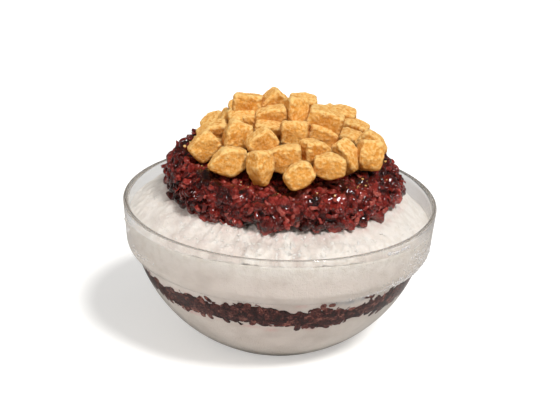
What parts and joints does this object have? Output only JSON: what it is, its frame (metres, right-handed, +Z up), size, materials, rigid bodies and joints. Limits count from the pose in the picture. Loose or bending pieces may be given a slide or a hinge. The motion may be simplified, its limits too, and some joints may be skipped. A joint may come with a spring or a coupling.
{
  "type": "bingsu",
  "caption": "Shaved milk ice dessert in a clear glass bowl, layered and topped with sweet red beans and heaped with powdered rice cake pieces.",
  "frame": {"origin": "middle of the bowl's flat base, where it rests on the table", "axes": "+Z up along the bowl's axis; the bowl is round, and -Y is the side of the heap that is shown"},
  "size_m": [0.17, 0.17, 0.1375],
  "materials": {
    "clear_glass": "clear, smooth",
    "milk_ice": "matt, fluffy shaved milk ice",
    "red_beans": "glossy, syrupy sweet red beans",
    "soybean_powder": "matt, powdery roasted soybean flour"
  },
  "bodies": {
    "root": {"bowl": "clear_glass", "ice_base": "milk_ice", "bean_layer": "red_beans", "ice_mound": "milk_ice", "bean_cap": "red_beans", "rice_cake_01": "soybean_powder", "rice_cake_02": "soybean_powder", "rice_cake_03": "soybean_powder", "rice_cake_04": "soybean_powder", "rice_cake_05": "soybean_powder", "rice_cake_06": "soybean_powder", "rice_cake_07": "soybean_powder", "rice_cake_08": "soybean_powder", "rice_cake_09": "soybean_powder", "rice_cake_10": "soybean_powder", "rice_cake_11": "soybean_powder", "rice_cake_12": "soybean_powder", "rice_cake_13": "soybean_powder", "rice_cake_14": "soybean_powder", "rice_cake_15": "soybean_powder", "rice_cake_16": "soybean_powder", "rice_cake_17": "soybean_powder", "rice_cake_18": "soybean_powder", "rice_cake_19": "soybean_powder", "rice_cake_20": "soybean_powder", "rice_cake_21": "soybean_powder", "rice_cake_22": "soybean_powder", "rice_cake_23": "soybean_powder", "rice_cake_24": "soybean_powder", "rice_cake_25": "soybean_powder", "rice_cake_26": "soybean_powder", "rice_cake_27": "soybean_powder", "rice_cake_28": "soybean_powder", "rice_cake_29": "soybean_powder", "rice_cake_30": "soybean_powder", "rice_cake_31": "soybean_powder", "rice_cake_32": "soybean_powder", "rice_cake_33": "soybean_powder", "rice_cake_34": "soybean_powder", "rice_cake_35": "soybean_powder", "rice_cake_36": "soybean_powder", "rice_cake_37": "soybean_powder", "rice_cake_38": "soybean_powder", "rice_cake_39": "soybean_powder", "rice_cake_40": "soybean_powder", "rice_cake_41": "soybean_powder"}
  },
  "joints": []
}
